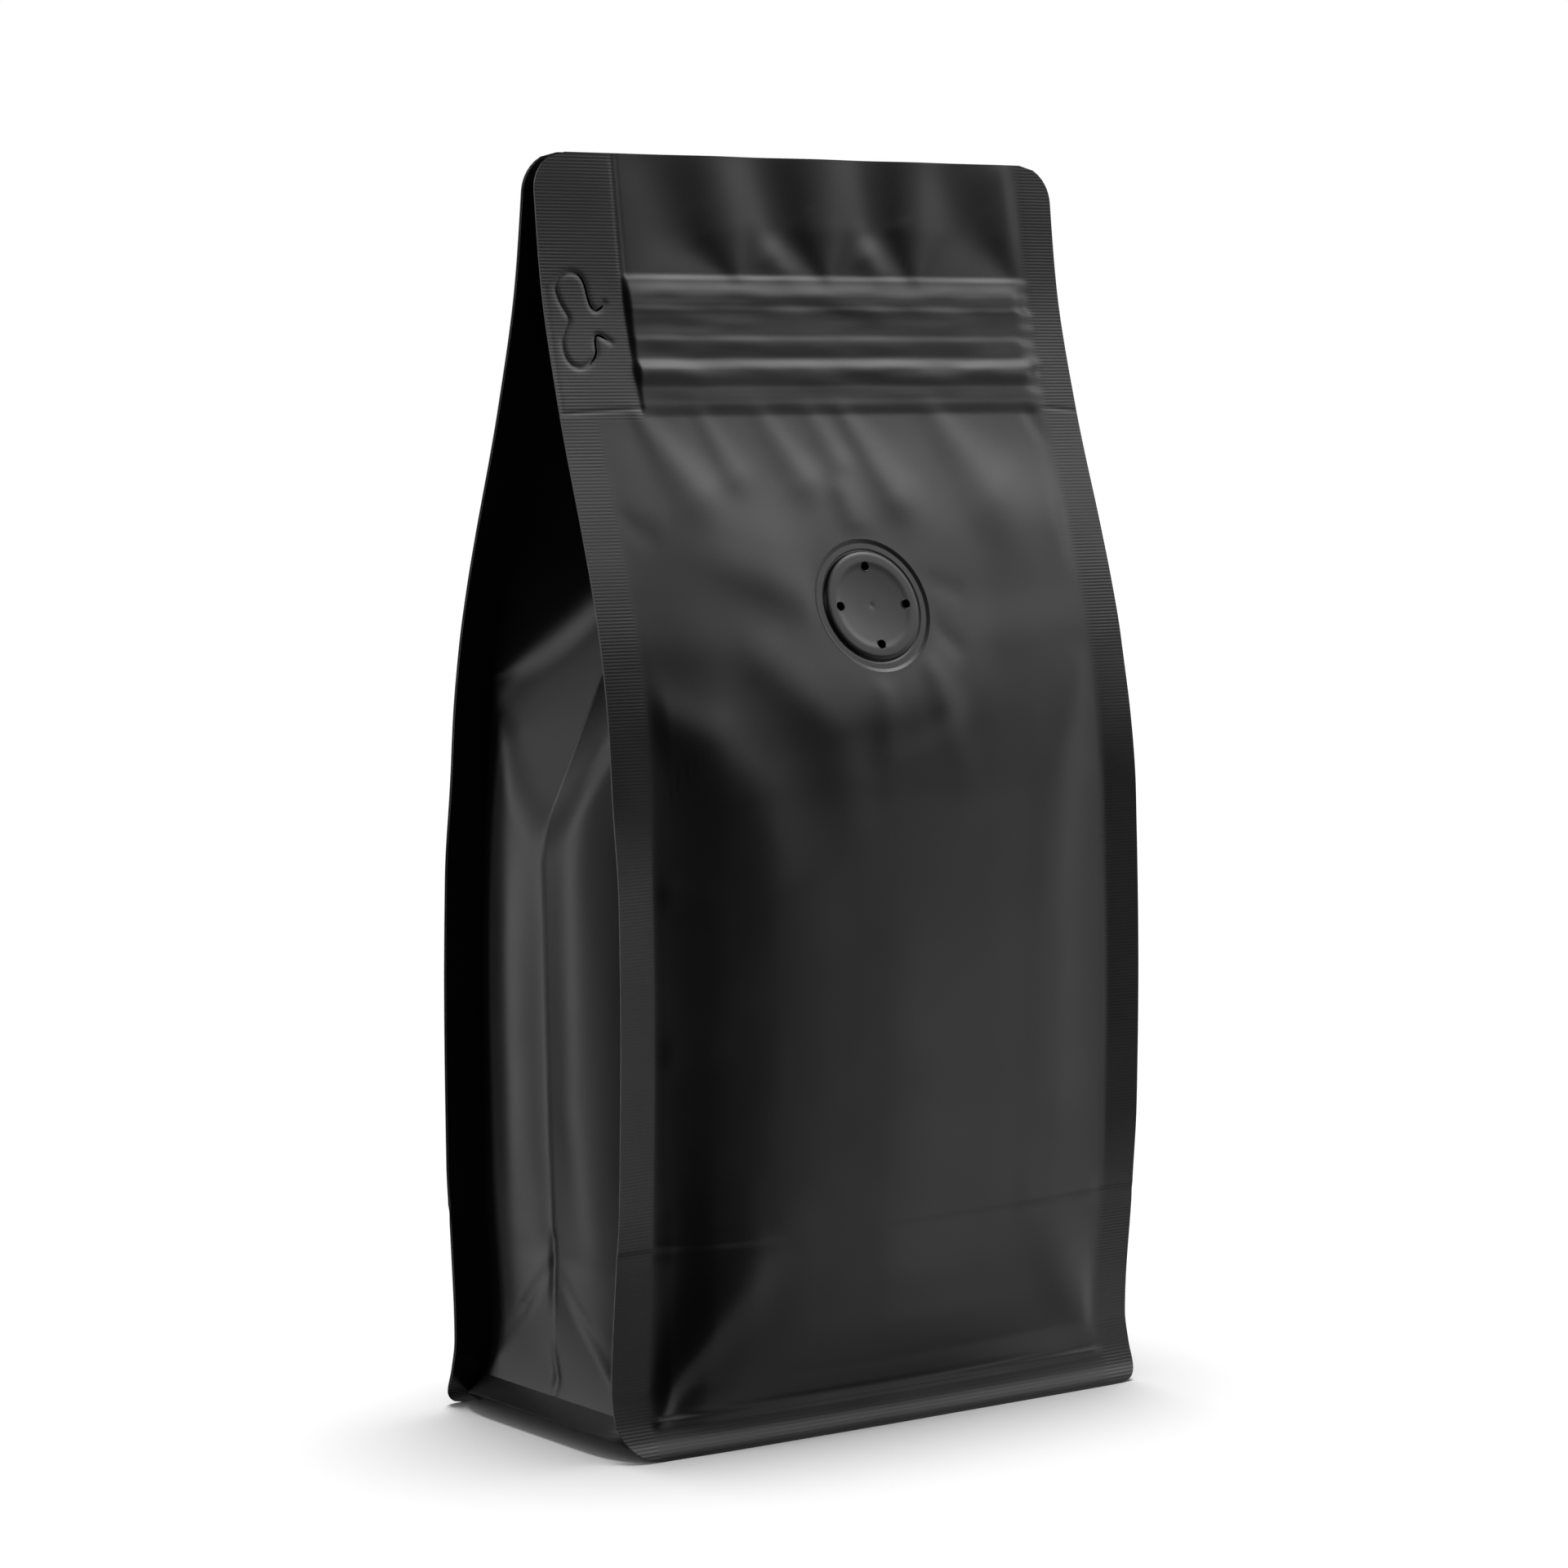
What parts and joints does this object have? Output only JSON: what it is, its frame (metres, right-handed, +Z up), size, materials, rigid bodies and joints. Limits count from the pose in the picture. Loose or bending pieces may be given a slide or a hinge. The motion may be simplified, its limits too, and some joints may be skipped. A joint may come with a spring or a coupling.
{
  "type": "flat-bottom pouch",
  "caption": "Shut flat-bottom pouch in matt black film, with side gussets, sealed fins, a zip band, a pull tab and a round degassing valve.",
  "frame": {"origin": "centre of the base, on the surface that the pouch stands on", "axes": "+Z up, the longest extent; -Y out of the front panel, with the depth the shortest extent; +X to the right along the front panel"},
  "size_m": [0.11, 0.0626, 0.2143],
  "materials": {
    "matt_laminate": "matt black laminated film, heat-sealed",
    "valve_film": "matt black film drawn tight over a moulded one-way valve",
    "seal_laminate": "matt black film, flat-sealed with fine embossed lines and die cut"
  },
  "bodies": {
    "root": {"pouch": "matt_laminate", "degassing_valve": "valve_film", "pull_tab": "seal_laminate"}
  },
  "joints": []
}
